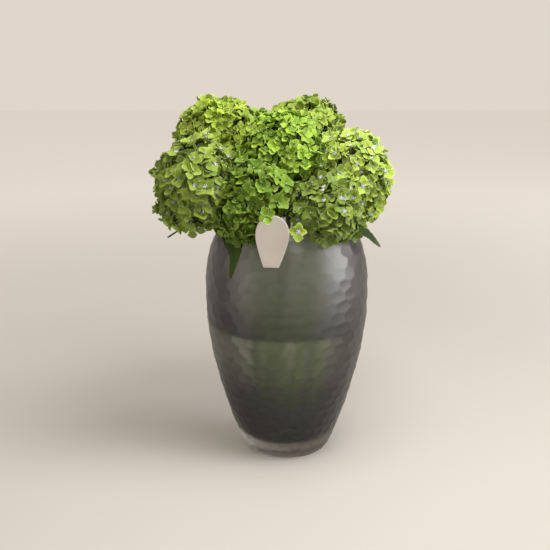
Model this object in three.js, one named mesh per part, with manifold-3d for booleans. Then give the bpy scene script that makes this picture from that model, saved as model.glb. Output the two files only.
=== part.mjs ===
// Cut hydrangeas in a thick satin glass vase: eleven mophead flowers with their stems, loose leaves,
// the water they stand in and a card tag. Millimetres, +Z up. The origin is the centre of the vase's
// foot, on the table, and -Y is the front.
import * as THREE from 'three';
import { mergeVertices } from 'three/addons/utils/BufferGeometryUtils.js';
import Module from 'manifold-3d';

// ---- driving dimensions ----
const VASE = { height: 300, wall: 9, floor: 20, innerFloorRadius: 22, cornerRadius: 36, sides: 36 };
// Outer wall of the vase as [radius, height], from the foot to the lip.
const SHOULDER = [
  [47, 0], [52.3, 4.5], [57, 13], [64, 30], [74.5, 60], [86, 100], [95, 140], [99.9, 180],
  [100.6, 216], [98.2, 246], [91.2, 270], [76, 297.2],
];
const WATER_LEVEL = 167;
const GAP = 0.35; // kept between neighbouring solids
const STEM = { radius: 3.5, sides: 8, steps: 9, foot: 25.2, footRing: 21, twist: 28, reach: 0.5 };
const HEAD = { detail: 4, lump: 2.2, press: 1, overVase: 7.5 };
const LEAF = { thickness: 0.9, along: 9, across: 4 };
const TAG = { width: 38, height: 65, foot: 17.5, thickness: 0.8, shoulder: 41 };
const TAG_STANDS = { at: [-19, -97, 257.5], lean: 76, turn: 2 };

// Each flower: middle and half sizes of its head, and where its stem passes the mouth of the vase, as
// an angle round the vase and a distance from its middle. The first eight face the front, the others
// the back.
const FLOWERS = [
  { name: 'left', at: [-106, -38, 339], half: [50, 48, 69], mouth: [190, 48] },
  { name: 'back_left_top', at: [-85, 50, 392], half: [54, 49, 50], mouth: [156, 46] },
  { name: 'top_right', at: [25, 50, 394], half: [49, 49, 51], mouth: [58, 43] },
  { name: 'centre', at: [-6, -20, 373], half: [56, 52, 55], mouth: [272, 42] },
  { name: 'front_centre', at: [-34, -62, 340], half: [44, 42, 42], mouth: [247, 48] },
  { name: 'right', at: [74, -20, 347], half: [53, 54, 62], mouth: [350, 47] },
  { name: 'front_right', at: [46, -66, 316], half: [47, 44, 42], mouth: [303, 48] },
  { name: 'front_left', at: [-52, -76, 311], half: [34, 33, 42], mouth: [221, 48] },
  { name: 'back_left', at: [-78, 82, 340], half: [52, 50, 52], mouth: [124, 48] },
  { name: 'back_right', at: [66, 86, 344], half: [52, 50, 52], mouth: [38, 48] },
  { name: 'back', at: [-33, 92, 373], half: [52, 48, 50], mouth: [103, 47] },
];

// Each leaf: the line of its midrib as [angle round the vase, radius, height], and its greatest half
// width.
const LEAVES = [
  {
    name: 'front_left',
    rib: [[208, 52, 286], [212, 69, 305], [224, 92, 301], [234, 104, 276], [230, 103, 241]],
    half: 15,
  },
  {
    name: 'right',
    rib: [[329, 52, 286], [332, 69, 305], [337, 88, 298], [345, 101, 283], [351, 115, 265]],
    half: 17,
  },
  {
    name: 'left',
    rib: [[174, 53, 286], [173, 69, 305], [172, 92, 302], [175, 122, 288], [179, 148, 272]],
    half: 16,
  },
  {
    name: 'left_inner',
    rib: [[205, 54, 286], [204, 66, 303], [203, 76, 305], [201, 86, 301], [199, 95, 291]],
    half: 11,
  },
  {
    name: 'back_left',
    rib: [[139, 53, 286], [139, 69, 305], [141, 96, 300], [142, 124, 284], [144, 146, 262]],
    half: 19,
  },
  {
    name: 'back',
    rib: [[74, 53, 286], [72, 69, 305], [70, 92, 300], [68, 112, 280], [66, 122, 248]],
    half: 19,
  },
  {
    name: 'back_right',
    rib: [[11, 53, 286], [12, 69, 305], [22, 92, 302], [36, 112, 292], [48, 126, 276]],
    half: 18,
  },
];

const wasm = await Module();
wasm.setup();

// The point at an angle round the vase, a distance from its middle and a height.
function round(degrees, radius, z) {
  const turn = THREE.MathUtils.degToRad(degrees);
  return new THREE.Vector3(radius * Math.cos(turn), radius * Math.sin(turn), z);
}

// ---- solids ----
function solidOf(geometry) {
  const bare = geometry.index ? geometry.toNonIndexed() : geometry.clone();
  bare.deleteAttribute('normal');
  bare.deleteAttribute('uv');
  const merged = mergeVertices(bare, 1e-3);
  return new wasm.Manifold(new wasm.Mesh({
    numProp: 3,
    vertProperties: merged.attributes.position.array,
    triVerts: new Uint32Array(merged.index.array),
  }));
}

function geometryOf(solid) {
  const made = solid.getMesh();
  const points = new Float32Array(made.numVert * 3);
  for (let i = 0; i < made.numVert; i++) {
    points.set(made.vertProperties.subarray(i * made.numProp, i * made.numProp + 3), i * 3);
  }
  const geometry = new THREE.BufferGeometry();
  geometry.setAttribute('position', new THREE.BufferAttribute(points, 3));
  geometry.setIndex(new THREE.BufferAttribute(made.triVerts, 1));
  geometry.computeVertexNormals();
  return geometry;
}

// A cut can leave crumbs beside the piece itself, and only the piece is kept.
const largest = (solid) => solid.decompose().sort((a, b) => b.volume() - a.volume())[0];

// A lathe turned about +Z. Its profile is [radius, height] from the axis at the bottom round to the
// axis again.
function turned(profile, sides) {
  const points = profile.map(([r, z]) => new THREE.Vector2(r, z));
  return new THREE.LatheGeometry(points, sides).rotateX(Math.PI / 2);
}

// ---- vase ----
const shoulder = new THREE.CatmullRomCurve3(
  SHOULDER.map(([r, z]) => new THREE.Vector3(r, z, 0)),
  false,
  'centripetal',
);

// The inner wall as [radius, height]: the outer wall moved in by the wall's thickness, above a
// bowl-shaped floor.
function innerWall(offset) {
  const wall = [];
  const middle = [VASE.innerFloorRadius, VASE.floor + VASE.cornerRadius];
  const bend = VASE.cornerRadius - offset;
  for (let i = 0; i <= 4; i++) {
    const turn = (i / 4) * 1.25;
    wall.push([middle[0] + bend * Math.sin(turn), middle[1] - bend * Math.cos(turn)]);
  }
  for (const share of [0.36, 0.46, 0.56, 0.66, 0.76, 0.86, 0.93, 1]) {
    const point = shoulder.getPointAt(share);
    const along = shoulder.getTangentAt(share);
    wall.push([point.x - along.y * (VASE.wall + offset), point.y + along.x * (VASE.wall + offset)]);
  }
  return wall;
}

function vaseProfile() {
  const outer = shoulder.getSpacedPoints(12).map((p) => [p.x, p.y]);
  const inner = innerWall(0);
  const end = outer[outer.length - 1];
  const start = inner[inner.length - 1];
  const middle = [(end[0] + start[0]) / 2, (end[1] + start[1]) / 2];
  const lip = [];
  const opening = Math.atan2(end[1] - middle[1], end[0] - middle[0]);
  for (let i = 1; i < 4; i++) {
    const turn = opening + (i / 4) * Math.PI;
    lip.push([
      middle[0] + (VASE.wall / 2) * Math.cos(turn),
      middle[1] + (VASE.wall / 2) * Math.sin(turn),
    ]);
  }
  return [[0, 0], ...outer, ...lip, ...inner.reverse(), [0, VASE.floor]];
}

const vase = solidOf(turned(vaseProfile(), VASE.sides));

// The vase's half profile in polar steps, for how near a point is to the glass: [radius, height] pairs.
const section = vaseProfile();

function nearGlass(point) {
  const r = Math.hypot(point.x, point.y);
  let nearest = Infinity;
  for (let i = 1; i < section.length; i++) {
    const [r0, z0] = section[i - 1];
    const [dr, dz] = [section[i][0] - r0, section[i][1] - z0];
    const along = ((r - r0) * dr + (point.z - z0) * dz) / (dr * dr + dz * dz);
    const share = THREE.MathUtils.clamp(along, 0, 1);
    nearest = Math.min(nearest, Math.hypot(r - r0 - share * dr, point.z - z0 - share * dz));
  }
  return nearest;
}

// ---- stems ----
const meanHalf = (flower) => (flower.half[0] + flower.half[1] + flower.half[2]) / 3;

// A stem stands on the floor of the vase, leans on through the mouth and bends over into the heart of
// its flower.
function stemLine(flower) {
  const [angle, radius] = flower.mouth;
  const middle = new THREE.Vector3(...flower.at);
  const foot = round(angle - STEM.twist, STEM.footRing, STEM.foot);
  const mouth = round(angle, radius, VASE.height - 4);
  const top = middle.clone().lerp(mouth, (STEM.reach * meanHalf(flower)) / middle.distanceTo(mouth));
  const halfway = foot.clone().lerp(mouth, 0.5);
  return new THREE.CatmullRomCurve3([foot, halfway, mouth, top], false, 'centripetal');
}

function rod(line, radius) {
  const circle = new THREE.Shape();
  for (let i = 0; i < STEM.sides; i++) {
    const turn = (i / STEM.sides) * 2 * Math.PI;
    circle[i ? 'lineTo' : 'moveTo'](radius * Math.cos(turn), radius * Math.sin(turn));
  }
  circle.closePath();
  const options = { steps: STEM.steps, extrudePath: line, bevelEnabled: false };
  return solidOf(new THREE.ExtrudeGeometry(circle, options));
}

// The room a stem needs in what surrounds it: the stem and a gap, with a round hollow past each end.
function stemSpace(line) {
  let space = rod(line, STEM.radius + 1.3 * GAP);
  for (const share of [0, 1]) {
    const end = line.getPointAt(share);
    const ball = wasm.Manifold.sphere(STEM.radius + 3 * GAP, STEM.sides);
    space = space.add(ball.translate([end.x, end.y, end.z]));
  }
  return space;
}

// ---- leaves ----
// A thin arched blade along its midrib, widest near the stalk end and drawn out to a point.
function blade(leaf, grow) {
  const line = new THREE.CatmullRomCurve3(leaf.rib.map((p) => round(...p)), false, 'centripetal');
  const thick = LEAF.thickness / 2 + grow;
  const points = [];
  const faces = [];
  const row = LEAF.across + 1;
  for (let i = 0; i <= LEAF.along; i++) {
    const share = i / LEAF.along;
    const along = line.getTangentAt(share);
    const past = i === 0 ? -grow : i === LEAF.along ? grow : 0;
    const middle = line.getPointAt(share).addScaledVector(along, past);
    const outwards = new THREE.Vector3(middle.x, middle.y, 0).normalize().setZ(0.8);
    const aside = new THREE.Vector3().crossVectors(along, outwards).normalize();
    const up = new THREE.Vector3().crossVectors(aside, along).normalize();
    const stalk = THREE.MathUtils.smoothstep(share, 0.25, 0.45);
    const half = 1.2 + grow + leaf.half * stalk * (1 - share) ** 0.75 * 1.25;
    for (const side of [1, -1]) {
      for (let j = 0; j <= LEAF.across; j++) {
        const across = (2 * j) / LEAF.across - 1;
        const drop = 0.16 * half * across * across;
        const point = middle.clone().addScaledVector(aside, half * across);
        points.push(point.addScaledVector(up, side * thick - drop));
      }
    }
  }
  const at = (i, side, j) => i * 2 * row + side * row + j;
  const quad = (a, b, c, d) => faces.push(a, b, c, a, c, d);
  for (let i = 0; i < LEAF.along; i++) {
    for (let j = 0; j < LEAF.across; j++) {
      quad(at(i, 0, j), at(i, 0, j + 1), at(i + 1, 0, j + 1), at(i + 1, 0, j));
      quad(at(i, 1, j), at(i + 1, 1, j), at(i + 1, 1, j + 1), at(i, 1, j + 1));
    }
    quad(at(i, 0, 0), at(i + 1, 0, 0), at(i + 1, 1, 0), at(i, 1, 0));
    quad(at(i, 0, row - 1), at(i, 1, row - 1), at(i + 1, 1, row - 1), at(i + 1, 0, row - 1));
  }
  for (let j = 0; j < LEAF.across; j++) {
    quad(at(0, 0, j), at(0, 1, j), at(0, 1, j + 1), at(0, 0, j + 1));
    quad(at(LEAF.along, 0, j), at(LEAF.along, 0, j + 1), at(LEAF.along, 1, j + 1), at(LEAF.along, 1, j));
  }
  const geometry = new THREE.BufferGeometry().setFromPoints(points);
  geometry.setIndex(faces);
  const solid = solidOf(geometry);
  return solid.volume() < 0 ? solidOf(flipped(geometry)) : solid;
}

function flipped(geometry) {
  const index = Array.from(geometry.index.array);
  for (let i = 0; i < index.length; i += 3) {
    [index[i + 1], index[i + 2]] = [index[i + 2], index[i + 1]];
  }
  return geometry.clone().setIndex(index);
}

// ---- tag ----
// A card with a rounded top and straight sides that taper to a narrow flat foot.
function tagShape(grow) {
  const half = TAG.width / 2 + grow;
  const foot = TAG.foot / 2 + grow;
  const shape = new THREE.Shape();
  shape.moveTo(-foot, -grow);
  shape.lineTo(foot, -grow);
  shape.quadraticCurveTo(half, TAG.shoulder * 0.75, half, TAG.shoulder);
  shape.bezierCurveTo(half, TAG.height - 8, half * 0.5, TAG.height + grow, 0, TAG.height + grow);
  shape.bezierCurveTo(-half * 0.5, TAG.height + grow, -half, TAG.height - 8, -half, TAG.shoulder);
  shape.quadraticCurveTo(-half, TAG.shoulder * 0.75, -foot, -grow);
  return shape;
}

// It stands on its foot against the front of the vase and leans out at the top, held by the flowers
// above.
const tagPlace = new THREE.Matrix4()
  .makeTranslation(...TAG_STANDS.at)
  .multiply(new THREE.Matrix4().makeRotationX(THREE.MathUtils.degToRad(180 - TAG_STANDS.lean)))
  .multiply(new THREE.Matrix4().makeRotationZ(THREE.MathUtils.degToRad(-TAG_STANDS.turn)));

function card(grow) {
  const thick = TAG.thickness + 2 * grow;
  const options = { depth: thick, bevelEnabled: false, curveSegments: 5 };
  const flat = new THREE.ExtrudeGeometry(tagShape(grow), options);
  return solidOf(flat.translate(0, 0, -thick / 2).applyMatrix4(tagPlace));
}

// ---- flower heads ----
// How far a head reaches from its middle along one direction: a lumpy rounded dome, flatter below,
// pressed flat where it meets its neighbours.
function reachOf(flower, direction) {
  const [a, b, c] = flower.half;
  const under = direction.z < 0 ? 1 + 0.18 * direction.z * direction.z : 1;
  let reach = 1 / Math.hypot(direction.x / a, direction.y / b, direction.z / (c * (2 - under)));
  const lumps = Math.sin(7 * direction.x + flower.at[0]) + Math.sin(7 * direction.y + flower.at[1])
    + Math.sin(7 * direction.z + flower.at[2]);
  reach += (HEAD.lump * (lumps - 1.5)) / 1.5;
  const middle = new THREE.Vector3(...flower.at);
  for (const other of FLOWERS) {
    if (other === flower) continue;
    const between = new THREE.Vector3(...other.at).sub(middle);
    const apart = between.length();
    const share = (apart * apart + meanHalf(flower) ** 2 - meanHalf(other) ** 2) / (2 * apart);
    const facing = direction.dot(between) / apart;
    if (facing > 0) reach = Math.min(reach, (share - HEAD.press) / facing);
  }
  return clearOfGlass(middle, direction, reach);
}

// Shortens a reach so that it stops short of the vase by HEAD.overVase.
function clearOfGlass(middle, direction, reach) {
  const step = 1;
  for (let far = step; far < reach; far += step) {
    const point = middle.clone().addScaledVector(direction, far);
    if (point.z < VASE.height + 20 && nearGlass(point) < HEAD.overVase) return far - step;
  }
  return reach;
}

function head(flower) {
  const ball = new THREE.IcosahedronGeometry(1, HEAD.detail);
  const place = ball.attributes.position;
  const direction = new THREE.Vector3();
  const middle = new THREE.Vector3(...flower.at);
  const known = new Map();
  for (let i = 0; i < place.count; i++) {
    direction.fromBufferAttribute(place, i).normalize();
    const key = [direction.x, direction.y, direction.z].map((v) => v.toFixed(4)).join();
    if (!known.has(key)) {
      const reach = reachOf(flower, direction);
      known.set(key, middle.clone().addScaledVector(direction, reach));
    }
    const point = known.get(key);
    place.setXYZ(i, point.x, point.y, point.z);
  }
  return solidOf(ball);
}

// ---- assembly ----
const finish = (color, roughness) => new THREE.MeshStandardMaterial({ color, roughness });
const SMOKE_GLASS = finish(0x55564f, 0.35);
const WATER = finish(0x6d7a62, 0.05);
const STALK = finish(0x6f8f3a, 0.6);
const FOLIAGE = finish(0x2f4a1a, 0.55);
const CARD = finish(0xd8d2c6, 0.9);
const FLORETS = finish(0x8cb52c, 0.7);

const bouquet = new THREE.Group();
function place(name, solid, material) {
  const mesh = new THREE.Mesh(geometryOf(solid), material);
  mesh.name = name;
  bouquet.add(mesh);
}

const stems = FLOWERS.map((flower) => rod(stemLine(flower), STEM.radius));
const stemRoom = FLOWERS.map((flower) => stemSpace(stemLine(flower)));
const leaves = LEAVES.map((leaf) => blade(leaf, 0));
const leafRoom = LEAVES.map((leaf) => blade(leaf, 2.5 * GAP));

place('vase', vase, SMOKE_GLASS);

const waterProfile = innerWall(GAP).filter(([, z]) => z < WATER_LEVEL);
const brim = innerWall(GAP).find(([, z]) => z >= WATER_LEVEL);
const last = waterProfile[waterProfile.length - 1];
const brimShare = (WATER_LEVEL - last[1]) / (brim[1] - last[1]);
const brimRadius = last[0] + brimShare * (brim[0] - last[0]);
const waterOutline = [
  [0, VASE.floor + GAP],
  ...waterProfile,
  [brimRadius, WATER_LEVEL],
  [0, WATER_LEVEL],
];
let water = solidOf(turned(waterOutline, VASE.sides));
for (const room of stemRoom) water = water.subtract(room);
place('water', largest(water), WATER);

FLOWERS.forEach((flower, i) => {
  place(`stem_${flower.name}`, stems[i], STALK);
});
LEAVES.forEach((leaf, i) => {
  place(`leaf_${leaf.name}`, leaves[i], FOLIAGE);
});
place('tag', card(0), CARD);
FLOWERS.forEach((flower) => {
  let made = head(flower);
  for (const room of [...stemRoom, ...leafRoom, card(GAP)]) made = made.subtract(room);
  place(`flower_${flower.name}`, largest(made), FLORETS);
});

export default bouquet;
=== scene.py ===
import math
import random

import bpy
import numpy as np
from mathutils import Matrix, Vector
from mathutils.bvhtree import BVHTree


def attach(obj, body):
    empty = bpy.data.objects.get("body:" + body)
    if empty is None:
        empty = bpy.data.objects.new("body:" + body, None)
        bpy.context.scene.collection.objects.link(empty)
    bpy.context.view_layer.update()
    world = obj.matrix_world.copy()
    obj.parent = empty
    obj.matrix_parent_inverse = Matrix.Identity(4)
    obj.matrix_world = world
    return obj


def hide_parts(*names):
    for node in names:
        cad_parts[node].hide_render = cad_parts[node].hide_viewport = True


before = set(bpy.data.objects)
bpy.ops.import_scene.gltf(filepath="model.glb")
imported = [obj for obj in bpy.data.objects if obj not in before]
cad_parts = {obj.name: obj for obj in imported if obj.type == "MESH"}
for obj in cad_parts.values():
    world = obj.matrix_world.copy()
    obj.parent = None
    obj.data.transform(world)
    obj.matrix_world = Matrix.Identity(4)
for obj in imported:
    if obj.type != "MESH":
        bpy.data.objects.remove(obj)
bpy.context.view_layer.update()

MM = 0.001
scene = bpy.context.scene
TURN = 2 * math.pi


# ---- camera ----
def place_camera():
    camera = bpy.data.objects.new("camera", bpy.data.cameras.new("camera"))
    camera.location = (-0.0145, -1.1341, 0.5076)
    camera.rotation_euler = (math.radians(90 - 14), 0, 0)
    camera.data.sensor_width = 36
    camera.data.lens = 61.44
    camera.data.clip_start = 0.05
    scene.collection.objects.link(camera)
    scene.camera = camera


place_camera()


# ---- shader expressions ----
MIX_SHARE, MIX_FIRST, MIX_SECOND, MIX_RESULT = 0, 6, 7, 2  # the sockets of a Mix node that mixes colours


class Value:
    """A socket of a finish's node tree, with arithmetic: sums and products of values add Math nodes."""

    def __init__(self, finish, socket):
        self.finish = finish
        self.socket = socket

    def maths(self, operation, first, second=None):
        given = [first] if second is None else [first, second]
        return self.finish.node("ShaderNodeMath", {"operation": operation}, given)

    def __add__(self, other):
        return self.maths("ADD", self, other)

    def __sub__(self, other):
        return self.maths("SUBTRACT", self, other)

    def __mul__(self, other):
        return self.maths("MULTIPLY", self, other)

    def __truediv__(self, other):
        return self.maths("DIVIDE", self, other)

    def __radd__(self, other):
        return self.maths("ADD", other, self)

    def __rsub__(self, other):
        return self.maths("SUBTRACT", other, self)

    def __rmul__(self, other):
        return self.maths("MULTIPLY", other, self)

    def __rtruediv__(self, other):
        return self.maths("DIVIDE", other, self)

    def least(self, other):
        return self.maths("MINIMUM", self, other)

    def most(self, other):
        return self.maths("MAXIMUM", self, other)

    def sine(self):
        return self.maths("SINE", self)

    def size(self):
        return self.maths("ABSOLUTE", self)

    def clamped(self):
        return self.finish.node("ShaderNodeClamp", {}, [self])

    def ramp(self, low, high, out_low=0.0, out_high=1.0):
        """The value carried smoothly from one range to another."""
        settings = {"interpolation_type": "SMOOTHSTEP"}
        return self.finish.node("ShaderNodeMapRange", settings, [self, low, high, out_low, out_high])


class Finish:
    """One material: its node tree, and the ways to add to it."""

    def __init__(self, name):
        self.material = bpy.data.materials.new(name)
        self.material.use_nodes = True
        self.tree = self.material.node_tree
        self.tree.nodes.clear()
        self.output = self.tree.nodes.new("ShaderNodeOutputMaterial")

    def node(self, kind, settings=None, sockets=(), out=0):
        """Adds a node of a kind, makes its settings, and fills its sockets by order or by name."""
        made = self.tree.nodes.new(kind)
        for key, setting in (settings or {}).items():
            setattr(made, key, setting)
        given = sockets.items() if isinstance(sockets, dict) else enumerate(sockets)
        for key, content in given:
            if isinstance(content, Value):
                self.tree.links.new(content.socket, made.inputs[key])
            elif content is not None:
                made.inputs[key].default_value = content
        return Value(self, made.outputs[out])

    def mix(self, share, first, second):
        """A colour between two colours."""
        first, second = [(*c, 1.0) if isinstance(c, tuple) else c for c in (first, second)]
        sockets = {MIX_SHARE: share, MIX_FIRST: first, MIX_SECOND: second}
        return self.node("ShaderNodeMix", {"data_type": "RGBA"}, sockets, out=MIX_RESULT)

    def noise(self, scale, detail=2.0, where=None, stretch=None):
        """Soft noise on the object's own coordinates, with a scale in features per metre."""
        where = where or self.node("ShaderNodeTexCoord", out="Object")
        if stretch:
            where = self.node("ShaderNodeVectorMath", {"operation": "MULTIPLY"}, [where, stretch])
        sockets = {"Vector": where, "Scale": scale, "Detail": detail}
        return self.node("ShaderNodeTexNoise", {}, sockets)

    def height(self):
        """How high a point stands over the foot of the vase, in metres."""
        place = self.node("ShaderNodeTexCoord", out="Object")
        return self.node("ShaderNodeSeparateXYZ", {}, [place], out="Z")

    def attribute(self, name):
        """The three values that a piece's mesh carries under a name, as separate values."""
        carried = self.node("ShaderNodeAttribute", {"attribute_name": name}, out="Vector")
        split = self.node("ShaderNodeSeparateXYZ", {}, [carried])
        outputs = split.socket.node.outputs
        return [Value(self, outputs[axis]) for axis in "XYZ"]

    def bump(self, height, depth):
        """Relief of a depth in metres."""
        return self.node("ShaderNodeBump", {}, {"Strength": 1.0, "Distance": depth, "Height": height})

    def surface(self, **sockets):
        """A Principled surface, with the names of its sockets written with underscores."""
        named = {key.replace("_", " "): content for key, content in sockets.items()}
        return self.node("ShaderNodeBsdfPrincipled", {}, named)

    def blend_shaders(self, share, first, second):
        return self.node("ShaderNodeMixShader", {}, [share, first, second])

    def done(self, shader):
        self.tree.links.new(shader.socket, self.output.inputs["Surface"])
        return self.material


# ---- finishes ----
TIRED_SEPAL, SHADED_SEPAL, DEEP_GREEN_AND_SHADE_SEPAL = (0.47, 0.42, 0.12), (0.012, 0.03, 0.003), (0.035, 0.085, 0.005)
DARK_BLADE, LIGHT_BLADE, BLADE_VEIN = (0.022, 0.05, 0.004), (0.05, 0.095, 0.008), (0.14, 0.2, 0.03)
DRY_TIP = (0.16, 0.11, 0.03)
GLASS_IOR, WATER_IOR = 1.46, 1.33


def sepal_finish(name, deep, fresh, edge, heart):
    """The petal-like sepals of a floret: deep green to fresh green, with pale rims, veins and hearts.

    Each sepal carries how far along and across it a point lies, and its own freshness. Each floret carries
    how deep a green it is, partly painted shade, whether it stands in the inner layer, which is painted
    darker as shade, and how pale its rims are.
    """
    f = Finish(name)
    along, across, freshness = f.attribute("sepal")
    deep_green_and_shade, inside, paleness = f.attribute("floret")
    mottled = f.noise(90, 3).ramp(0.3, 0.7)
    body = f.mix((0.25 + 0.55 * freshness + 0.35 * (mottled - 0.5)).clamped(), deep, fresh)
    spread = across / (0.25 + 0.75 * along)
    fine = f.noise(260, 3)
    fanned = (spread * 10.5 + along * 5.0 + fine * 2.6).sine().size().ramp(0.0, 0.5)
    midrib = spread.size().ramp(0.02, 0.09)
    veins = fanned.least(0.3 + 0.7 * midrib)
    body = f.mix(0.2 * (1 - veins), body, edge)
    rim = across.size().most(along * along).ramp(0.74, 1.0)
    body = f.mix((rim * (0.4 + 0.5 * paleness)).clamped(), body, edge)
    base = along.ramp(0.3, 0.06)
    body = f.mix((base * (0.35 + 0.6 * paleness)).clamped(), body, heart)
    tired = f.noise(33, 2).ramp(0.55, 0.8)
    body = f.mix(tired * 0.28, body, TIRED_SEPAL)
    # painted shade: florets of the inner layer are darkened as if in the shade of the outer ones
    body = f.mix(0.62 * inside, body, SHADED_SEPAL)
    # deep green tone of each floret, partly painted shade, strongest on the low front flowers
    body = f.mix(0.55 * deep_green_and_shade, body, DEEP_GREEN_AND_SHADE_SEPAL)
    relief = f.bump(veins * 0.6 + 0.4 * fine, 0.35 * MM)
    rough = 0.42 + 0.2 * mottled
    face = f.surface(Base_Color=body, Roughness=rough, Normal=relief, Specular_IOR_Level=0.32)
    glow = tuple(0.22 * a + 0.78 * b for a, b in zip(deep, fresh))
    through = f.node("ShaderNodeBsdfTranslucent", {}, {"Color": (*glow, 1.0), "Normal": relief})
    share = 0.24 * (1 - 0.3 * inside) * (1 - 0.2 * deep_green_and_shade)
    return f.done(f.blend_shaders(share, face, through))


def bead_finish(name, colour, shadow):
    """The tiny closed buds in the heart of each floret."""
    f = Finish(name)
    grain = f.noise(900, 2)
    body = f.mix(grain.ramp(0.35, 0.65), colour, shadow)
    return f.done(f.surface(Base_Color=body, Roughness=0.45 + 0.2 * grain, Normal=f.bump(grain, 0.2 * MM)))


def stalk_finish(name, fresh, brown):
    """Green stalk with long fibres and brown freckles."""
    f = Finish(name)
    fibre = f.noise(500, 3, stretch=(1.0, 1.0, 0.12))
    freckle = f.noise(220, 2, stretch=(1.0, 1.0, 0.5)).ramp(0.6, 0.7)
    body = f.mix(fibre, fresh, tuple(c * 0.55 for c in fresh))
    body = f.mix(0.7 * freckle, body, brown)
    return f.done(f.surface(Base_Color=body, Roughness=0.4 + 0.25 * fibre, Normal=f.bump(fibre, 0.4 * MM)))


def leaf_finish():
    """Dark hydrangea leaf: paler sunk veins in a herringbone, and a soft gloss."""
    f = Finish("hydrangea_leaf")
    along, across, _ = f.attribute("blade")
    slant = (along * LEAF_VEINS - across.size() * 9.0).sine().size().ramp(0.0, 0.28)
    middle = across.size().ramp(0.01, 0.06)
    veins = slant.least(middle)
    patch = f.noise(60, 4)
    cells = f.noise(700, 3)
    green = f.mix(patch.ramp(0.35, 0.65), DARK_BLADE, LIGHT_BLADE)
    green = f.mix(0.5 * (1 - veins), green, BLADE_VEIN)
    green = f.mix(along.ramp(0.9, 1.0) * 0.4, green, DRY_TIP)
    relief = f.bump(veins + 0.35 * cells, 0.7 * MM)
    rough = 0.45 + 0.22 * cells
    face = f.surface(Base_Color=green, Roughness=rough, Normal=relief, Specular_IOR_Level=0.2)
    through = f.node("ShaderNodeBsdfTranslucent", {}, {"Color": (0.1, 0.17, 0.02, 1)})
    return f.done(f.blend_shaders(0.12, face, through))


def card_finish():
    """Uncoated off-white card with short paper fibres."""
    f = Finish("card")
    fibre = f.noise(1500, 4)
    cloud = f.noise(40, 2)
    body = f.mix(fibre.ramp(0.3, 0.7), (0.53, 0.50, 0.455), (0.59, 0.56, 0.51))
    body = f.mix(0.4 * cloud.ramp(0.4, 0.7), body, (0.5, 0.47, 0.425))
    return f.done(f.surface(Base_Color=body, Roughness=0.75 + 0.15 * fibre, Normal=f.bump(fibre, 0.1 * MM)))


def lamp_glass(f, glass, shade):
    """Glass that a lamp's light passes as through a tinted pane, on its way to what stands inside."""
    lamp_ray = f.node("ShaderNodeLightPath", out="Is Shadow Ray")
    pane = f.node("ShaderNodeBsdfTransparent", {}, {"Color": (*shade, 1.0)})
    return f.done(f.blend_shaders(lamp_ray, glass, pane))


def satin_casing():
    """The tinted outer glass of the vase, etched to a satin skin over the carver's scallops.

    It is deeper where the wall is seen edge on, and nearly clear but rougher round the foot.
    """
    f = Finish("satin_casing")
    height = f.height()
    cloud = f.noise(30, 3)
    wall = f.mix(cloud, (0.34, 0.335, 0.322), (0.40, 0.394, 0.38))
    edge_on = f.node("ShaderNodeLayerWeight", {}, {"Blend": 0.5}, out="Facing")
    wall = f.mix(edge_on.ramp(0.03, 0.42), wall, (0.03, 0.027, 0.025))
    foot = height.ramp(0.034, 0.016)
    glass = f.surface(
        Base_Color=f.mix(foot, wall, (0.40, 0.365, 0.32)),
        Roughness=0.33 + 0.08 * cloud + 0.22 * foot,
        IOR=GLASS_IOR,
        Specular_IOR_Level=0.36,
        Transmission_Weight=1.0,
    )
    return lamp_glass(f, glass, (0.7, 0.7, 0.7))


def smoke_lining():
    """The smoked inner glass of the vase: near black round the floor, smooth where the water wets it and
    paler there, painted light for the light the water brings in, and dull above, with a darker band just
    over the water.
    """
    f = Finish("smoke_lining")
    height = f.height()
    cloud = f.noise(18, 3)
    smoke = f.mix(cloud.ramp(0.3, 0.7), (0.74, 0.78, 0.74), (0.62, 0.66, 0.62))
    level = WATER_LEVEL * MM
    painted_light_below_water = height.ramp(level + 3 * MM, level - 7 * MM)
    # painted light: the lining is made paler below the water line, for the light the water brings in
    smoke = f.mix(0.75 * painted_light_below_water, smoke, (0.92, 0.93, 0.88))
    # a darker band just over the water line, fading upwards
    dark_band_over_water = height.ramp(level + 53 * MM, level + 2 * MM) * height.ramp(level - 2 * MM, level + 1 * MM)
    smoke = f.mix(0.7 * dark_band_over_water, smoke, (0.22, 0.23, 0.22))
    thick = (height + 0.02 * cloud).ramp(0.155, 0.068)
    glass = f.surface(
        Base_Color=f.mix(thick, smoke, (0.001, 0.0011, 0.0011)),
        Roughness=height.ramp(level - 5 * MM, level + 5 * MM, 0.06, 0.42),
        IOR=GLASS_IOR,
        Transmission_Weight=1.0,
    )
    return lamp_glass(f, glass, (0.5, 0.52, 0.5))


def still_water():
    """Water, a little green from the stems."""
    f = Finish("vase_water")
    cloud = f.noise(25, 2)
    water = f.surface(
        Base_Color=f.mix(cloud, (0.86, 0.93, 0.78), (0.9, 0.95, 0.84)),
        Roughness=0.0,
        IOR=WATER_IOR,
        Transmission_Weight=1.0,
    )
    return lamp_glass(f, water, (0.9, 0.95, 0.88))


def plain_floor():
    """Pale matt floor, deeper in tone round the vase, where the lamps are strongest."""
    f = Finish("pale_floor")
    place = f.node("ShaderNodeTexCoord", out="Object")
    away = f.node("ShaderNodeVectorMath", {"operation": "LENGTH"}, [place], out="Value")
    cloud = f.noise(3, 2)
    body = f.mix((away + 0.05 * cloud).ramp(0.15, 2.4), (0.50, 0.48, 0.46), (0.96, 0.95, 0.94))
    return f.done(f.surface(Base_Color=body, Roughness=0.7))


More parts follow.
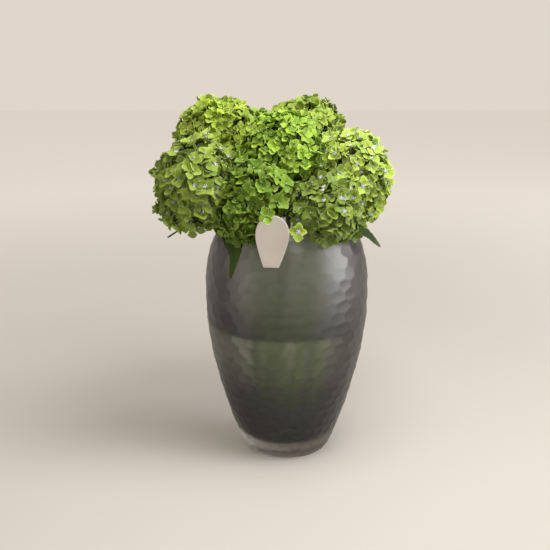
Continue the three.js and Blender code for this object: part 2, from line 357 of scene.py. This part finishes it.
# ---- meshes ----
def piece_from(name, points, faces, finishes, face_finish=None, smooth=True):
    """A new object from points and faces, with its finishes; the sharp rims of thin things stay crisp."""
    mesh = bpy.data.meshes.new(name)
    mesh.from_pydata([tuple(p) for p in points], [], [tuple(f) for f in faces])
    for finish in finishes:
        mesh.materials.append(finish)
    if face_finish is not None:
        mesh.polygons.foreach_set("material_index", np.asarray(face_finish, dtype=np.int32))
    if smooth:
        mesh.shade_smooth()
        mesh.set_sharp_from_angle(angle=math.radians(62))
    piece = bpy.data.objects.new(name, mesh)
    scene.collection.objects.link(piece)
    return piece


def carry(piece, name, values):
    """Gives each point of a piece's mesh three values under a name, for its finish to read."""
    layer = piece.data.attributes.new(name, "FLOAT_VECTOR", "POINT")
    layer.data.foreach_set("vector", np.asarray(values, dtype=np.float32).ravel())


def settle(piece, slot, *nodes):
    """A piece that stands still, in the place of some solids; its slot is not used."""
    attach(piece, "root")
    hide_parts(*nodes)
    return piece


class Heap:
    """Gathers many small shapes into one mesh."""

    def __init__(self):
        self.points, self.faces, self.carried, self.count = [], [], {}, 0
        self.kinds = []

    def add(self, points, faces, kinds=0, **carried):
        """Adds a shape, with one kind of finish or one for each face, and the values its points carry."""
        self.points.append(points)
        self.faces.extend((faces + self.count).tolist() if isinstance(faces, np.ndarray) else
                          [[i + self.count for i in face] for face in faces])
        self.kinds.extend(kinds if isinstance(kinds, list) else [kinds] * len(faces))
        for name, values in carried.items():
            self.carried.setdefault(name, []).append(np.broadcast_to(values, (len(points), 3)))
        self.count += len(points)

    def piece(self, name, finishes):
        """The object of all that was added in millimetres."""
        made = piece_from(name, np.concatenate(self.points) * MM, self.faces, finishes, self.kinds)
        for key, values in self.carried.items():
            carry(made, key, np.concatenate(values))
        return made


# ---- the parts' sizes, as in the solid model, in millimetres ----
HEIGHT, WALL, FLOOR, FLOOR_RADIUS, CORNER = 300, 9, 20, 22, 36
SHOULDER = [(47, 0), (52.3, 4.5), (57, 13), (64, 30), (74.5, 60), (86, 100), (95, 140), (99.9, 180),
            (100.6, 216), (98.2, 246), (91.2, 270), (76, 297.2)]
WATER_LEVEL = 167
WATER_GRIP = -0.25  # the water runs this far into the glass, so that no air shows between them
FLOWERS = {
    "left": ((-106, -38, 339), (50, 48, 69), (190, 48)),
    "back_left_top": ((-85, 50, 392), (54, 49, 50), (156, 46)),
    "top_right": ((25, 50, 394), (49, 49, 51), (58, 43)),
    "centre": ((-6, -20, 373), (56, 52, 55), (272, 42)),
    "front_centre": ((-34, -62, 340), (44, 42, 42), (247, 48)),
    "right": ((74, -20, 347), (53, 54, 62), (350, 47)),
    "front_right": ((46, -66, 316), (47, 44, 42), (303, 48)),
    "front_left": ((-52, -76, 311), (34, 33, 42), (221, 48)),
    "back_left": ((-78, 82, 340), (52, 50, 52), (124, 48)),
    "back_right": ((66, 86, 344), (52, 50, 52), (38, 48)),
    "back": ((-33, 92, 373), (52, 48, 50), (103, 47)),
}
LEAVES = {
    "front_left": ([(208, 52, 286), (212, 69, 305), (224, 92, 301), (234, 104, 276), (230, 103, 241)], 18),
    "right": ([(329, 52, 286), (332, 69, 305), (337, 88, 298), (345, 101, 283), (351, 115, 265)], 17),
    "left": ([(174, 53, 286), (173, 69, 305), (172, 92, 302), (175, 122, 288), (179, 148, 272)], 16),
    "left_inner": ([(205, 54, 286), (204, 66, 303), (203, 76, 305), (201, 86, 301), (199, 95, 291)], 11),
    "back_left": ([(139, 53, 286), (139, 69, 305), (141, 96, 300), (142, 124, 284), (144, 146, 262)], 19),
    "back": ([(74, 53, 286), (72, 69, 305), (70, 92, 300), (68, 112, 280), (66, 122, 248)], 19),
    "back_right": ([(11, 53, 286), (12, 69, 305), (22, 92, 302), (36, 112, 292), (48, 126, 276)], 18),
}
LEAF_TURN = {"right": -22}  # degrees by which a blade faces away from straight outwards
LEAF_VEINS, LEAF_TEETH = 46.0, 34
SCALLOPS, SCALLOP_DEPTH = (30, 24), 2.0  # how many round the wall and up it, and how deep they are cut
SEPAL_THICK = 0.38
OUTSIDE = 200  # a distance that is out of any flower
STEM_FOOT, STEM_RING, STEM_TWIST = 25.2, 21, 28  # height, radius and turn of the stems' feet
TAG = {"width": 38, "height": 65, "foot": 17.5, "thickness": 0.8, "shoulder": 41}
TAG_AT, TAG_LEAN, TAG_TURN = (-19, -97, 257.5), 76, 2
# One floret hangs before the top of the tag and one beside it: their places and the ways they face.
HANGING = {
    "front_centre": ((-23, -120, 321), (-0.12, -0.9, 0.42)),
    "front_right": ((12, -106, 301), (-0.2, -0.9, 0.1)),
}


def polar(degrees, radius, z):
    """A point by its turn and its distance about the vase's axis, and its height."""
    turn = math.radians(degrees)
    return np.array([radius * math.cos(turn), radius * math.sin(turn), z])


def smooth_line(knots, count):
    """Points along a centripetal Catmull-Rom curve through the knots, evenly spaced."""
    knots = [np.asarray(k, dtype=float) for k in knots]
    knots = [2 * knots[0] - knots[1], *knots, 2 * knots[-1] - knots[-2]]
    fine = []
    for a, b, c, d in zip(knots, knots[1:], knots[2:], knots[3:]):
        before, between, after = (math.sqrt(np.linalg.norm(q - p)) for p, q in ((a, b), (b, c), (c, d)))
        leave = between * ((b - a) / before - (c - a) / (before + between)) + (c - b)
        arrive = (c - b) + between * ((d - c) / after - (d - b) / (between + after))
        for t in np.linspace(0, 1, 24, endpoint=False):
            fine.append(b + leave * t + (3 * (c - b) - 2 * leave - arrive) * t**2
                        + (2 * (b - c) + leave + arrive) * t**3)
    fine.append(knots[-2])
    fine = np.array(fine)
    far = np.concatenate([[0], np.cumsum(np.linalg.norm(np.diff(fine, axis=0), axis=1))])
    wanted = np.linspace(0, far[-1], count)
    return np.stack([np.interp(wanted, far, fine[:, i]) for i in range(3)], axis=1)


def lathe(profile, sides):
    """Points of a profile of (radius, height) turned about the vase's axis, row by row."""
    turns = np.arange(sides) * TURN / sides
    rows = [np.stack([r * np.cos(turns), r * np.sin(turns), np.full(sides, z)], axis=1) for r, z in profile]
    return np.concatenate(rows)


def closed_faces(rows, sides):
    """Quads between the rows of a lathe, facing out where its profile runs upwards, and a fan at each end.

    The middle points of the first and the last fan follow the points of the rows.
    """
    i, j = np.meshgrid(np.arange(rows - 1), np.arange(sides), indexing="ij")
    i, j = i.ravel(), j.ravel()
    k = (j + 1) % sides
    low, high = i * sides, (i + 1) * sides
    faces = np.stack([low + j, low + k, high + k, high + j], axis=1).tolist()
    first, last, last_row = rows * sides, rows * sides + 1, (rows - 1) * sides
    for j in range(sides):
        k = (j + 1) % sides
        faces.append([first, k, j])
        faces.append([last, last_row + j, last_row + k])
    return faces


def sheet_faces(rows, cols):
    """The faces of a thin closed sheet: those of its top, and those of its underside, turned over.

    The underside has points of its own inside the rim, which follow the points of the top.
    """
    top = np.arange(rows * cols).reshape(rows, cols)
    under = top.copy()
    under[1:-1, 1:-1] = rows * cols + np.arange((rows - 2) * (cols - 2)).reshape(rows - 2, cols - 2)
    up, down = (np.stack([g[:-1, :-1], g[1:, :-1], g[1:, 1:], g[:-1, 1:]], axis=2).reshape(-1, 4)
                for g in (top, under))
    return np.concatenate([up, down[:, ::-1]])


def sheet_points(top, under):
    """The points of a thin closed sheet, or the values they carry: the top's, then the underside's."""
    return np.concatenate([top.reshape(-1, 3), under[1:-1, 1:-1].reshape(-1, 3)])


def unit_slope(line):
    """The directions along a line, each of length 1."""
    slope = np.gradient(line, axis=0)
    return slope / np.linalg.norm(slope, axis=1)[:, None]


# ---- the vase ----
def wall_line(count):
    """The outer wall from the foot to the lip as evenly spaced (radius, height)."""
    return smooth_line([(r, z, 0) for r, z in SHOULDER], count)[:, :2]


def inner_line(inset, count):
    """The hollow's wall from the middle of its floor to the lip, moved further in by an inset."""
    outer = wall_line(120)
    slope = unit_slope(outer)
    wall = outer + np.stack([-slope[:, 1], slope[:, 0]], axis=1) * (WALL + inset)
    bowl = [(FLOOR_RADIUS + (CORNER - inset) * math.sin(t), FLOOR + CORNER - (CORNER - inset) * math.cos(t))
            for t in np.linspace(0, 1.25, 9)]
    upper = [tuple(p) for p in wall[43:]]
    knots = [(0.0, FLOOR + inset), (12.0, FLOOR + inset)] + bowl + upper[::6] + [upper[-1]]
    return smooth_line([(r, z, 0) for r, z in knots], count)[:, :2]


def carved_depth(rng, turns, ways, around, rows):
    """How deep the scallops cut, at points given by their turn round the wall and share of its height."""
    depth = np.full(turns.shape, 9.0)
    for row in range(-1, rows + 1):
        for place in range(around):
            middle_turn = (place + 0.5 * (row % 2) + rng.uniform(-0.22, 0.22)) * TURN / around
            middle_way = (row + 0.5 + rng.uniform(-0.2, 0.2)) / rows
            reach = rng.uniform(0.85, 1.15)
            aside = (turns - middle_turn + math.pi) % TURN - math.pi
            near = np.abs(aside) < 2.2 * TURN / around
            along = (ways - middle_way) * rows
            far = (aside[near] * around / TURN) ** 2 + along[near] ** 2
            depth[near] = np.minimum(depth[near], far * reach + rng.uniform(0.0, 0.12))
    return np.minimum(depth, 1.0)


def make_vase(rng, casing, lining):
    """The scalloped outer wall, a rounded lip, the smooth smoked hollow, and a flat foot."""
    sides, rows = 420, 190
    line = wall_line(rows)
    slope = unit_slope(line)
    normal = np.stack([slope[:, 1], -slope[:, 0]], axis=1)
    turns, ways = np.meshgrid(np.arange(sides) * TURN / sides, np.linspace(0, 1, rows))
    ridge = carved_depth(rng, turns.ravel(), ways.ravel(), *SCALLOPS).reshape(rows, sides)
    fade = np.clip((ways - 0.012) / 0.03, 0, 1) * np.clip((1 - ways) / 0.04, 0, 1)
    push = (ridge - 0.4) * SCALLOP_DEPTH * fade
    radius = line[:, :1] + normal[:, :1] * push
    height = line[:, 1:] + normal[:, 1:] * push
    outer = np.stack([radius * np.cos(turns), radius * np.sin(turns), height], axis=2).reshape(-1, 3)
    inner = inner_line(0, 90)[::-1]
    middle = (line[-1] + inner[0]) / 2
    start = math.atan2(line[-1][1] - middle[1], line[-1][0] - middle[0])
    lip = [middle + WALL / 2 * np.array([math.cos(start + t), math.sin(start + t)])
           for t in np.linspace(0, math.pi, 11)[1:-1]]
    foot = [(1.0, 0.0), (20.0, 0.0), (40.0, 0.0), (45.0, 0.0)]
    after = lathe(lip + [tuple(p) for p in inner[:-1]], sides)
    points = np.concatenate([lathe(foot, sides), outer, after, [(0, 0, 0), (0, 0, FLOOR)]])
    count = len(foot) + rows + len(lip) + len(inner) - 1
    lined = len(foot) + rows + len(lip) - 1
    kinds = [int(i // sides >= lined) for i in range((count - 1) * sides)] + [0, 1] * sides
    vase = piece_from("vase_glass", points * MM, closed_faces(count, sides), [casing, lining], kinds)
    return settle(vase, "smoke_glass", "vase")


def make_water(finish):
    """The body of water, which creeps a little up the glass at its edge."""
    sides = 96
    inner = inner_line(WATER_GRIP, 90)
    below = [tuple(p) for p in inner if p[1] < WATER_LEVEL - 1.2][1:]
    edge = np.interp(WATER_LEVEL, inner[:, 1], inner[:, 0])
    creep = [(edge - 0.2, WATER_LEVEL + 1.0), (edge - 1.6, WATER_LEVEL + 0.2), (edge - 5, WATER_LEVEL)]
    profile = below + creep + [(1.0, WATER_LEVEL)]
    points = np.concatenate([lathe(profile, sides), [(0, 0, FLOOR + WATER_GRIP), (0, 0, WATER_LEVEL)]])
    water = piece_from("water_body", points * MM, closed_faces(len(profile), sides), [finish])
    return settle(water, "water", "water")


# ---- stems ----
def tube(line, radii, sides, rng=None, lumps=0.0):
    """A closed round rod along a line, with a radius for each of its points."""
    line = np.asarray(line)
    ahead = unit_slope(line)
    aside = np.cross(ahead[0], (0.3, 1.0, 0.2))
    rings = []
    for point, way, radius in zip(line, ahead, radii):
        aside = aside - way * np.dot(aside, way)
        aside /= np.linalg.norm(aside)
        other = np.cross(way, aside)
        turns = np.arange(sides) * TURN / sides
        wobble = np.array([1 + lumps * rng.gauss(0, 1) if rng else 1.0 for _ in range(sides)])
        ring = aside * np.cos(turns)[:, None] + other * np.sin(turns)[:, None]
        rings.append(point + ring * (radius * wobble)[:, None])
    return np.concatenate(rings + [[line[0]], [line[-1]]]), closed_faces(len(line), sides)


def stem_line(name, count):
    """Points along a flower's stem, from the floor of the vase over its lip and into the flower."""
    at, half, (angle, radius) = FLOWERS[name]
    foot = polar(angle - STEM_TWIST, STEM_RING, STEM_FOOT)
    mouth = polar(angle, radius, HEIGHT - 4)
    middle = np.array(at, dtype=float)
    reach = 0.5 * sum(half) / 3 / np.linalg.norm(middle - mouth)
    top = middle * (1 - reach) + mouth * reach
    return smooth_line([foot, (foot + mouth) / 2, mouth, top], count)


def make_stem(name, rng, finish):
    """A stalk with a swollen joint or two and the stub of a cut leaf stalk at each."""
    count = 60
    line = stem_line(name, count)
    share = np.linspace(0, 1, count)
    radii = 3.3 - 0.5 * share
    joints = [rng.uniform(0.2, 0.34), rng.uniform(0.55, 0.68)]
    for joint in joints:
        radii = radii + 0.75 * np.exp(-(((share - joint) / 0.012) ** 2))
    stem = Heap()
    points, faces = tube(line, radii, 14, rng, 0.03)
    stem.add(points, faces)
    for joint in joints:
        base = line[int(joint * count)]
        turn = rng.uniform(0, TURN)
        for side in (0, math.pi):
            away = np.array([math.cos(turn + side), math.sin(turn + side), 0.9])
            stub, stub_faces = tube([base + away * d for d in (1.0, 3.0, 4.6)], [1.4, 1.1, 1.2], 8)
            stem.add(stub, stub_faces)
    made = stem.piece(f"stalk_{name}", [finish])
    return settle(made, "stalk", f"stem_{name}")


# ---- florets ----
def sepal_sheet(length, width, rise, bend, spoon, ruffle, rows, cols):
    """One thin closed sepal lying along +X: its points, its faces and its place values."""
    v = 1 - (1 - np.linspace(0.0, 1.0, rows)) ** 1.25
    v[0] = 0.02
    w = np.linspace(-1, 1, cols)
    v, w = np.meshgrid(v, w, indexing="ij")
    half = width / 2 * v**0.6 * (1 - 0.34 * v**4) / 0.83
    lag = 0.44 * v**2 * w**2 * (1 + 0.12 * np.sin(3 * w + ruffle[0]))
    away = length * (v - lag)
    lift = np.sin(rise + bend * v / 2) * away
    out = np.cos(rise + bend * v / 2) * away
    side = half * w * (1 - 0.06 * np.abs(w))
    lift = lift + spoon * half * w**2
    lift = lift + ruffle[1] * length * v**2 * np.sin(2.2 * math.pi * w + ruffle[2]) * np.abs(w)
    lift = lift + 0.5 * ruffle[1] * length * w**4 * np.sin(9 * v + ruffle[0])
    lift = lift - 0.035 * length * np.exp(-((w / 0.16) ** 2)) * np.sin(math.pi * np.clip(v, 0, 1))
    top = np.stack([out, side, lift], axis=2)
    across_way = np.gradient(top, axis=1)
    along_way = np.gradient(top, axis=0)
    normal = np.cross(along_way, across_way)
    normal /= np.maximum(np.linalg.norm(normal, axis=2), 1e-9)[..., None]
    under = top - SEPAL_THICK * normal
    values = np.stack([v, w, np.zeros_like(v)], axis=2)
    return sheet_points(top, under), sheet_faces(rows, cols), sheet_points(values, values)


def turn_about(axis, angle):
    return np.array(Matrix.Rotation(angle, 3, axis))


def make_floret(rng, size, rows, cols, open_heart):
    """One floret facing +Z: three to five overlapping sepals round a cluster of tiny buds."""
    sepals = rng.choices([4, 5, 3], [0.82, 0.1, 0.08])[0]
    floret = Heap()
    spin = rng.uniform(0, TURN)
    for i in range(sepals):
        grown = size * rng.uniform(0.86, 1.08)
        wide = grown * rng.uniform(1.0, 1.26) * 4 / max(sepals, 3.6)
        ruffle = (rng.uniform(0, TURN), rng.uniform(0.015, 0.06), rng.uniform(0, TURN))
        points, faces, values = sepal_sheet(
            grown, wide, rng.uniform(0.12, 0.7), rng.uniform(-0.95, 0.3), rng.uniform(0.05, 0.42),
            ruffle, rows, cols)
        roll = turn_about("X", rng.uniform(-0.26, 0.26))
        turn = turn_about("Z", spin + TURN * i / sepals + rng.uniform(-0.13, 0.13))
        points = points @ roll.T
        points[:, 0] += 0.5
        points[:, 2] += 0.9 * (i % 2) - 0.3
        values[:, 2] = rng.random()
        floret.add(points @ turn.T, faces, 0, sepal=values)
    if open_heart and rng.random() < 0.55:
        buds = [(0, 0, 1.4, 1.1)]
        buds += [(1.9 * math.cos(a), 1.9 * math.sin(a), 1.9, 0.7) for a in np.arange(5) * TURN / 5 + spin]
    else:
        buds = [(0, 0, 1.2, 1.25)]
    for x, y, z, radius in buds:
        ball = BUD * radius + np.array([x, y, z])
        floret.add(ball, BUD_FACES, 1 if len(buds) > 1 else 2, sepal=(0, 0, 0))
    return floret


def round_bud():
    """A small ball, slightly lobed, as points and faces."""
    rings, sides = 4, 6
    rows = []
    for i in range(1, rings):
        tilt = math.pi * i / rings
        for j in range(sides):
            turn = TURN * j / sides
            r = math.sin(tilt) * (1 + 0.08 * math.cos(3 * turn))
            rows.append((r * math.cos(turn), r * math.sin(turn), -math.cos(tilt)))
    return np.array(rows + [(0, 0, -1), (0, 0, 1)]), closed_faces(rings - 1, sides)


BUD, BUD_FACES = round_bud()


def make_pool(rng, size, rows, cols, open_heart, count):
    """Ready florets to plant again and again, each turned and sized afresh."""
    pool = []
    for _ in range(count):
        floret = make_floret(rng, size, rows, cols, open_heart)
        points = np.concatenate(floret.points)
        sepal = np.concatenate(floret.carried["sepal"])
        pool.append((points, floret.faces, floret.kinds, sepal))
    return pool


def even_directions(count):
    """Directions spread evenly over a ball."""
    i = np.arange(count) + 0.5
    z = 1 - 2 * i / count
    turn = i * math.pi * (1 + math.sqrt(5))
    r = np.sqrt(1 - z * z)
    return np.stack([r * np.cos(turn), r * np.sin(turn), z], axis=1)


def solid_tree(node):
    """A search tree of a solid's faces, in millimetres."""
    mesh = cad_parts[node].data
    points = [v.co / MM for v in mesh.vertices]
    return BVHTree.FromPolygons(points, [tuple(p.vertices) for p in mesh.polygons])


def facing(normal, spin):
    """A rotation that carries +Z to a normal, after a spin about it."""
    return np.array((Vector((0, 0, 1)).rotation_difference(Vector(normal)).to_matrix()
                     @ Matrix.Rotation(spin, 3, "Z")))


SORTS = {
    # name: length of a sepal, sort of floret, paleness of rims and hearts, how deep a green (partly painted
    # shade, strongest on the low front flowers)
    "left": (11.6, "open", 0.7, 0.45),
    "back_left_top": (10.4, "lime", 0.4, 0.0),
    "top_right": (10.4, "lime", 0.45, 0.55),
    "centre": (9.6, "green", 0.4, 0.1),
    "front_centre": (10.0, "green", 0.3, 0.6),
    "right": (10.4, "open", 0.85, 0.0),
    "front_right": (10.0, "open", 0.55, 0.8),
    "front_left": (9.4, "green", 0.1, 0.95),
    "back_left": (11.0, "lime", 0.4, 0.1),
    "back_right": (11.2, "open", 0.6, 0.1),
    "back": (10.4, "green", 0.3, 0.1),
}


# The outer and the inner layer of florets: their pitch in sepal lengths, their share of the flower's reach,
# how near their place on its skin may come to another flower, and how far the ways they face scatter.
LAYERS = [(1.14, 1.0, 2.0, 0.42), (1.5, 0.72, 1.0, 0.6)]
FLORET_CELL = 0.866  # the area that a floret takes, in squares of the pitch
CLEARANCE = 5.0  # between the middle of a floret and the vase or the tag


def plant_head(name, trees, keep_clear, finishes):
    """A mophead: florets over its dome, a layer inside painted darker as shade, and the branches they stand
    on.
    """
    at, half, _ = FLOWERS[name]
    size, sort, paleness, deep_green_and_shade = SORTS[name]
    rng = random.Random("head " + name)
    middle = np.array(at, dtype=float)
    mean = sum(half) / 3
    stem_top = stem_line(name, 12)[-1]
    outer_pool = make_pool(rng, size, 7, 7, sort == "open", 18)
    inner_pool = make_pool(rng, size * 1.1, 5, 5, False, 6)
    head, branches = Heap(), Heap()
    planted = []
    for layer, pool in enumerate((outer_pool, inner_pool)):
        spacing, share, berth, scatter = LAYERS[layer]
        pitch = size * spacing
        count = int(4 * math.pi * (mean * share) ** 2 / (pitch * pitch * FLORET_CELL))
        ways = [(way, 0.0) for way in even_directions(count)]
        if layer == 0:
            # These only fill the gaps that the first ones leave.
            ways += [(way, 0.8 * pitch) for way in even_directions(3 * count)]
        for way, room in ways:
            way = way + np.array([rng.gauss(0, 0.07) for _ in range(3)])
            way /= np.linalg.norm(way)
            start = middle + way * OUTSIDE
            hit, normal, _, far = trees[name].ray_cast(Vector(start), Vector(-way))
            if hit is None:
                continue
            reach = OUTSIDE - far
            sink = rng.uniform(0.5, 8.5) if layer == 0 else 0.28 * reach + rng.uniform(-3, 3)
            spot = middle + way * (reach - sink)
            if room and min(np.linalg.norm(spot - other) for other, _ in planted) < room:
                continue
            skin = middle + way * reach
            crowd = min(trees[o].find_nearest(Vector(skin))[3] for o in trees if o != name)
            if crowd < berth:
                continue
            if min(t.find_nearest(Vector(spot))[3] for t in keep_clear) < CLEARANCE:
                continue
            if way[2] < -0.86 and layer == 0:
                continue
            face = way * 0.75 + np.array(normal) * 0.25 + np.array([rng.gauss(0, scatter) for _ in range(3)])
            face[2] += 0.12
            face /= np.linalg.norm(face)
            points, faces, kinds, sepal = pool[rng.randrange(len(pool))]
            grown = rng.uniform(0.82, 1.12)
            placed = points @ facing(face, rng.uniform(0, TURN)).T * grown + spot
            # the first value is the floret's deep green, partly painted shade; the second paints shade on
            # the inner layer
            tone = (deep_green_and_shade + rng.random() * 0.4, float(layer), paleness * rng.uniform(0.4, 1.2))
            head.add(placed, faces, kinds, sepal=sepal, floret=tone)
            planted.append((spot, face))
    if name in HANGING:
        spot, face = (np.array(v) for v in HANGING[name])
        points, faces, kinds, sepal = outer_pool[0]
        placed = points @ facing(face, 0.5).T * 1.05 + spot
        head.add(placed, faces, kinds, sepal=sepal, floret=(0.0, 0.0, 0.5))
        planted.append((spot, face))
    for spot, face in planted:
        bend = spot * 0.55 + stem_top * 0.45 + np.array([0, 0, -3.0])
        line = smooth_line([stem_top, bend, spot - face * 3, spot], 8)
        points, faces = tube(line, np.linspace(1.3, 0.7, 8), 6)
        branches.add(points, faces)
    florets = head.piece(f"florets_{name}", finishes[0:3])
    settle(florets, "florets", f"flower_{name}")
    twigs = branches.piece(f"branches_{name}", finishes[3:4])
    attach(twigs, "root")
    return len(planted)


# ---- leaves ----
def make_leaf(name, finish):
    """A pointed, saw-toothed blade, folded a little along its midrib, on a short stalk."""
    knots, half = LEAVES[name]
    rng = random.Random("leaf " + name)
    rows, cols = 90, 13
    line = smooth_line([polar(*k) for k in knots], rows)
    ahead = unit_slope(line)
    share = np.linspace(0, 1, rows)
    stalk = np.clip((share - 0.25) / 0.2, 0, 1)
    stalk = stalk * stalk * (3 - 2 * stalk)
    width = 1.2 + half * stalk * (1 - share) ** 0.75 * 1.25
    teeth = 1 + 0.085 * ((share * LEAF_TEETH) % 1.0 - 0.5) * stalk
    across = np.linspace(-1, 1, cols)
    phase = rng.uniform(0, TURN)
    top, under = [], []
    for i in range(rows):
        facing_turn = math.degrees(math.atan2(line[i][1], line[i][0])) + LEAF_TURN.get(name, 0)
        out = polar(facing_turn, 1.0, 0.8)
        aside = np.cross(ahead[i], out)
        aside /= np.linalg.norm(aside)
        up = np.cross(aside, ahead[i])
        up /= np.linalg.norm(up)
        saw = np.where(np.abs(across) > 0.99, teeth[i], 1.0)
        wave = 0.07 * width[i] * np.sin(5.5 * share[i] * math.pi + phase) * across
        pucker = 0.35 * np.sin(share[i] * LEAF_VEINS * 2 - np.abs(across) * 18) * np.abs(across) * stalk[i]
        arch = -0.16 * width[i] * across**2
        fold = 0.3 * width[i] * (np.abs(across) - 0.3) * stalk[i] * 0.4
        height = arch + fold + wave + pucker
        points = line[i] + aside * (width[i] * across * saw)[:, None] + up * height[:, None]
        top.append(points + up * 0.3)
        under.append(points - up * (0.35 + 1.1 * np.exp(-((across / 0.14) ** 2)))[:, None])
    points = sheet_points(np.array(top), np.array(under))
    faces = sheet_faces(rows, cols)[:, ::-1].tolist()
    v, w = np.meshgrid(share, across, indexing="ij")
    values = np.stack([v, w, np.zeros_like(v)], axis=2)
    blade = piece_from(f"blade_{name}", points * MM, faces, [finish])
    carry(blade, "blade", sheet_points(values, values))
    return settle(blade, "foliage", f"leaf_{name}")


# ---- tag ----
def tag_outline():
    """The card's outline from the middle of its foot, counter-clockwise, in its own plane."""
    half, foot, top, wide = TAG["width"] / 2, TAG["foot"] / 2, TAG["height"], TAG["shoulder"]

    def curve(*knots):
        t = np.linspace(0, 1, 18)[:, None]
        level = [np.array(k, dtype=float) for k in knots]
        while len(level) > 1:
            level = [a * (1 - t) + b * t for a, b in zip(level, level[1:])]
        return level[0][1:]

    right = np.concatenate([
        [(foot, 0.0)],
        curve((foot, 0), (half, wide * 0.75), (half, wide)),
        curve((half, wide), (half, top - 8), (half * 0.5, top), (0, top)),
    ])
    left = right[:-1][::-1] * np.array([-1, 1])
    return np.concatenate([right, left])


def make_tag(finish):
    """A stiff card, a little bowed, with a fine rounded edge."""
    outline = tag_outline()
    centre = np.array([0, TAG["height"] * 0.55])
    rings, thick = 14, TAG["thickness"] / 2
    spread = [0.98] + list(np.linspace(0.96, 0.08, rings - 1))
    count = len(outline)

    def bow(flat):
        return 0.0036 * flat[:, 0] ** 2 - 0.0004 * (flat[:, 1] - 30) ** 2

    rows = []
    for side in (1, -1):
        for share in spread:
            flat = centre + (outline - centre) * share
            edge = thick * (0.8 if share == spread[0] else 1.0)
            rows.append(np.column_stack([flat, bow(flat) + side * edge]))
    rim = np.column_stack([outline, bow(outline)])
    order = rows[rings - 1::-1] + [rim] + rows[rings:]
    tips = [np.array([[*centre, bow(centre[None])[0] + s * thick]]) for s in (1, -1)]
    points = np.concatenate(order + tips)
    faces = [face[::-1] for face in closed_faces(2 * rings + 1, count)]
    lean = Matrix.Rotation(math.radians(180 - TAG_LEAN), 4, "X")
    place = Matrix.Translation(TAG_AT) @ lean @ Matrix.Rotation(math.radians(-TAG_TURN), 4, "Z")
    points = np.array([place @ Vector(p) for p in points])
    card = piece_from("card_tag", points * MM, faces, [finish])
    return settle(card, "card", "tag")


# ---- studio ----
def make_studio(floor_finish):
    """A pale floor, warm air, a small lamp over the flowers, and a wide one from the right."""
    corners = [(-6, -6, 0), (6, -6, 0), (6, 6, 0), (-6, 6, 0)]
    floor = piece_from("studio_floor", corners, [[0, 1, 2, 3]], [floor_finish], smooth=False)
    world = bpy.data.worlds.new("studio_air")
    world.use_nodes = True
    background = world.node_tree.nodes["Background"]
    background.inputs["Color"].default_value = (0.745, 0.672, 0.591, 1)
    background.inputs["Strength"].default_value = 1.0
    scene.world = world
    scene.view_settings.view_transform = "Standard"

    def soft_light(name, place, aim, wide, tall, power, colour):
        lamp = bpy.data.objects.new(name, bpy.data.lights.new(name, "AREA"))
        lamp.data.shape = "RECTANGLE"
        lamp.data.size, lamp.data.size_y = wide, tall
        lamp.data.energy = power
        lamp.data.color = colour
        lamp.location = place
        lamp.rotation_euler = (Vector(aim) - Vector(place)).to_track_quat("-Z", "Y").to_euler()
        scene.collection.objects.link(lamp)

    soft_light("top", (0.14, -0.22, 0.82), (0, 0, 0.38), 0.36, 0.36, 5.6, (1.0, 0.97, 0.9))
    soft_light("side", (2.15, -0.3, 0.75), (0, 0, 0.25), 1.4, 1.4, 44, (0.98, 0.98, 1.0))


# ---- building the piece ----
def build():
    stalk = stalk_finish("stalk_green", (0.30, 0.42, 0.09), (0.12, 0.1, 0.03))
    twig = stalk_finish("branch_green", (0.35, 0.5, 0.12), (0.2, 0.24, 0.06))
    sepal_green = sepal_finish("sepal_green", (0.12, 0.27, 0.012), (0.45, 0.70, 0.038), (0.74, 0.86, 0.32),
                               (0.5, 0.66, 0.2))
    sepal_lime = sepal_finish("sepal_lime", (0.17, 0.30, 0.014), (0.55, 0.73, 0.055), (0.80, 0.89, 0.38),
                              (0.6, 0.7, 0.3))
    sepal_pale = sepal_finish("sepal_pale", (0.18, 0.32, 0.016), (0.53, 0.71, 0.065), (0.80, 0.89, 0.46),
                              (0.86, 0.85, 0.9))
    bead_green = bead_finish("bud_green", (0.34, 0.45, 0.12), (0.14, 0.2, 0.05))
    bead_blue = bead_finish("bud_lavender", (0.78, 0.78, 0.88), (0.36, 0.38, 0.56))
    make_vase(random.Random("carving"), satin_casing(), smoke_lining())
    make_water(still_water())
    trees = {name: solid_tree(f"flower_{name}") for name in FLOWERS}
    keep_clear = [solid_tree("vase"), solid_tree("tag")]
    sepals = {"green": sepal_green, "lime": sepal_lime, "open": sepal_pale}
    total = 0
    for name in FLOWERS:
        make_stem(name, random.Random("stalk " + name), stalk)
        finishes = [sepals[SORTS[name][1]], bead_blue, bead_green, twig]
        total += plant_head(name, trees, keep_clear, finishes)
    print("florets planted:", total)
    leaf = leaf_finish()
    for name in LEAVES:
        make_leaf(name, leaf)
    make_tag(card_finish())
    make_studio(plain_floor())


build()
